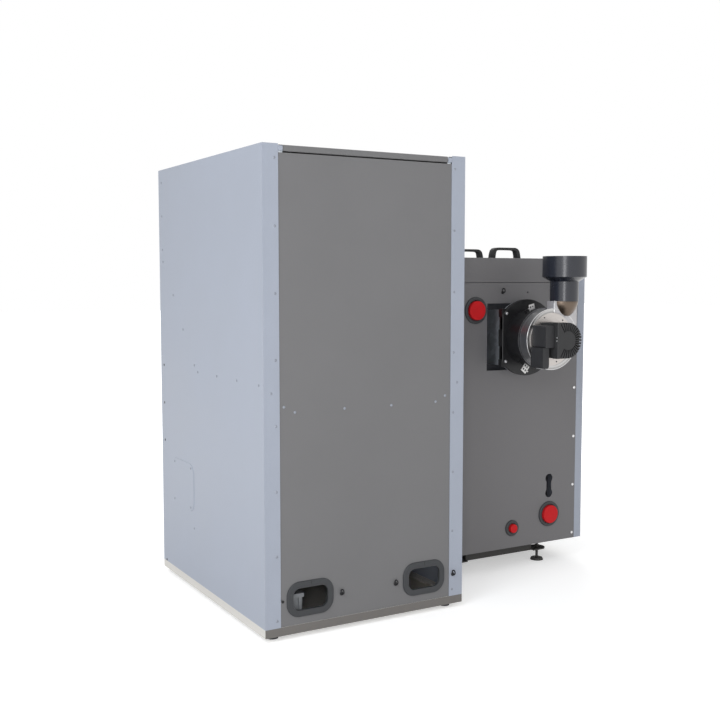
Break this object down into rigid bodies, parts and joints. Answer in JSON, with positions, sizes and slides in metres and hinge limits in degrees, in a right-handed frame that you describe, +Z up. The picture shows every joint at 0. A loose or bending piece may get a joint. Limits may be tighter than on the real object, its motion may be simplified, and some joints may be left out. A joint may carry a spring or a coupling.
{
  "type": "pellet boiler",
  "caption": "Pellet boiler with a tall hopper cabinet beside it, flue fan and flue socket on the rear, capped water pipes, lift-off cover, fire door and ash drawer.",
  "frame": {"origin": "on the floor under the middle of the whole object's bounding box", "axes": "+Z up; the front with the doors faces -Y; the hopper cabinet stands on the +X side and the boiler on the -X side; flue fan and pipes face +Y"},
  "size_m": [1.4516, 0.9984, 1.465],
  "materials": {
    "casing_light": "satin powder coat",
    "casing_grey": "fine textured powder coat",
    "plinth_grey": "matt paint",
    "rubber_dark": "matt",
    "anchor_nylon": "matt",
    "zinc": "galvanised",
    "pins_steel": "zinc plated",
    "auger_steel": "raw steel",
    "drive_grey": "cast, painted",
    "box_grey": "matt",
    "frame_dark": "matt paint",
    "vessel_steel": "heat-resistant paint",
    "pipe_steel": "raw steel",
    "cap_red": "semi-gloss",
    "handle_black": "matt",
    "display_glass": "clear over dark",
    "door_grey": "heat-resistant paint",
    "insulation": "pressed fibre board",
    "lever_black": "matt",
    "cast_iron": "cast",
    "housing_black": "matt paint",
    "stainless": "bright",
    "clip_bright": "bright",
    "wheel_steel": "raw",
    "motor_black": "matt",
    "plug_black": "matt",
    "flue_anthracite": "satin"
  },
  "bodies": {
    "body": {"cabinet_plinth": "plinth_grey", "cabinet_feet": "rubber_dark", "cabinet_outer_side": "casing_light", "cabinet_inner_side": "casing_light", "cabinet_rear_panel": "casing_grey", "cabinet_front_panel": "casing_light", "port_trims": "rubber_dark", "cable_anchors": "anchor_nylon", "blanking_plate": "zinc", "hinge_pins": "pins_steel", "hopper_collar": "zinc", "hopper_front_wall": "zinc", "hopper_funnel": "zinc", "dosing_tube": "zinc", "stoker_tube": "zinc", "gearmotors": "drive_grey", "junction_box": "box_grey", "base_frame": "frame_dark", "levelling_feet": "pins_steel", "boiler_outer_side": "casing_light", "boiler_inner_side": "casing_light", "boiler_rear_panel": "casing_grey", "boiler_front_panel": "casing_light", "console": "casing_light", "display": "display_glass", "boiler_vessel": "vessel_steel", "cleaning_cover": "vessel_steel", "pipe_stubs": "pipe_steel", "pipe_grommets": "rubber_dark", "burner_pot": "cast_iron", "flue_duct": "zinc", "fan_housing": "housing_black", "flange_bolts": "pins_steel", "fan_scroll": "stainless", "fan_face_plate": "stainless", "fan_motor": "motor_black", "motor_cap": "motor_black", "terminal_box": "plug_black", "flue_adaptor": "flue_anthracite"},
    "lid": {"hopper_lid": "casing_grey"},
    "cabinet_door": {"cabinet_door": "casing_light", "cabinet_door_handle": "handle_black"},
    "dosing_screw": {"dosing_auger": "auger_steel"},
    "stoker_screw": {"stoker_auger": "auger_steel"},
    "rear_cover": {"rear_cover": "casing_grey", "cover_handles": "handle_black"},
    "fire_door": {"fire_door": "door_grey", "fire_door_insulation": "insulation"},
    "fire_door_lever": {"fire_door_handle": "lever_black"},
    "ash_drawer": {"ash_drawer": "door_grey"},
    "turbulator_rack": {"turbulators": "auger_steel"},
    "lift_shaft": {"cleaning_shaft": "auger_steel"},
    "impeller": {"fan_impeller": "wheel_steel"},
    "clip_upper": {"fan_clip_upper": "clip_bright"},
    "clip_lower": {"fan_clip_lower": "clip_bright"},
    "flow_cap": {"flow_cap": "cap_red"},
    "return_cap": {"return_cap": "cap_red"},
    "drain_cap": {"drain_cap": "cap_red"},
    "knob": {"setting_knob": "handle_black"},
    "switch": {"mains_switch": "handle_black"}
  },
  "joints": [
    {"name": "lid_hinge", "type": "hinge", "parent": "body", "child": "lid", "pos_m": [0.36925, 0.44615, 1.453], "axis": [-1, 0, 0], "range_deg": [0, 85]},
    {"name": "cabinet_door_hinge", "type": "hinge", "parent": "body", "child": "cabinet_door", "pos_m": [0.70175, -0.43485, 0.459], "axis": [0, 0, 1], "range_deg": [0, 95]},
    {"name": "dosing_spin", "type": "hinge", "parent": "body", "child": "dosing_screw", "pos_m": [0.36925, 0, 0.462], "axis": [0, 1, 0], "continuous": true},
    {"name": "stoker_spin", "type": "hinge", "parent": "body", "child": "stoker_screw", "pos_m": [0, -0.23085, 0.36], "axis": [1, 0, 0], "continuous": true},
    {"name": "rear_cover_lift", "type": "slide", "parent": "body", "child": "rear_cover", "axis": [0, 0, 1], "range_m": [0, 0.2]},
    {"name": "fire_door_hinge", "type": "hinge", "parent": "body", "child": "fire_door", "pos_m": [-0.59775, -0.45385, 0.555], "axis": [0, 0, -1], "range_deg": [0, 110]},
    {"name": "fire_door_lever_turn", "type": "hinge", "parent": "fire_door", "child": "fire_door_lever", "pos_m": [-0.22375, -0.47385, 0.555], "axis": [0, 1, 0], "range_deg": [0, 90]},
    {"name": "ash_drawer_slide", "type": "slide", "parent": "body", "child": "ash_drawer", "axis": [0, -1, 0], "range_m": [0, 0.26]},
    {"name": "lift_shaft_turn", "type": "hinge", "parent": "body", "child": "lift_shaft", "pos_m": [-0.38375, -0.04185, 0.96341], "axis": [1, 0, 0], "range_deg": [0, 30]},
    {"name": "turbulator_lift", "type": "slide", "parent": "body", "child": "turbulator_rack", "axis": [0, 0, 1], "range_m": [0, 0.024]},
    {"name": "impeller_spin", "type": "hinge", "parent": "body", "child": "impeller", "pos_m": [-0.38875, 0.38415, 0.868], "axis": [0, 1, 0], "continuous": true},
    {"name": "clip_upper_turn", "type": "hinge", "parent": "body", "child": "clip_upper", "pos_m": [-0.34518, 0.33765, 0.97064], "axis": [0.9205, 0, -0.3907], "range_deg": [0, 90]},
    {"name": "clip_lower_turn", "type": "hinge", "parent": "body", "child": "clip_lower", "pos_m": [-0.32165, 0.33765, 0.77895], "axis": [-0.7986, 0, -0.6018], "range_deg": [0, 90]},
    {"name": "flow_cap_pull", "type": "slide", "parent": "body", "child": "flow_cap", "axis": [0, 1, 0], "range_m": [0, 0.04]},
    {"name": "return_cap_pull", "type": "slide", "parent": "body", "child": "return_cap", "axis": [0, 1, 0], "range_m": [0, 0.04]},
    {"name": "drain_cap_pull", "type": "slide", "parent": "body", "child": "drain_cap", "axis": [0, 1, 0], "range_m": [0, 0.04]},
    {"name": "knob_turn", "type": "hinge", "parent": "body", "child": "knob", "pos_m": [-0.23375, -0.38385, 1.1225], "axis": [0, -0.4412, 0.8974], "continuous": true},
    {"name": "switch_rock", "type": "hinge", "parent": "body", "child": "switch", "pos_m": [-0.53375, -0.38385, 1.1225], "axis": [0, 0.8974, 0.4412], "range_deg": [-7, 7]}
  ],
  "couplings": [
    {"joint": "turbulator_lift", "follows": "lift_shaft_turn", "m_per_rad": 0.045476}
  ]
}
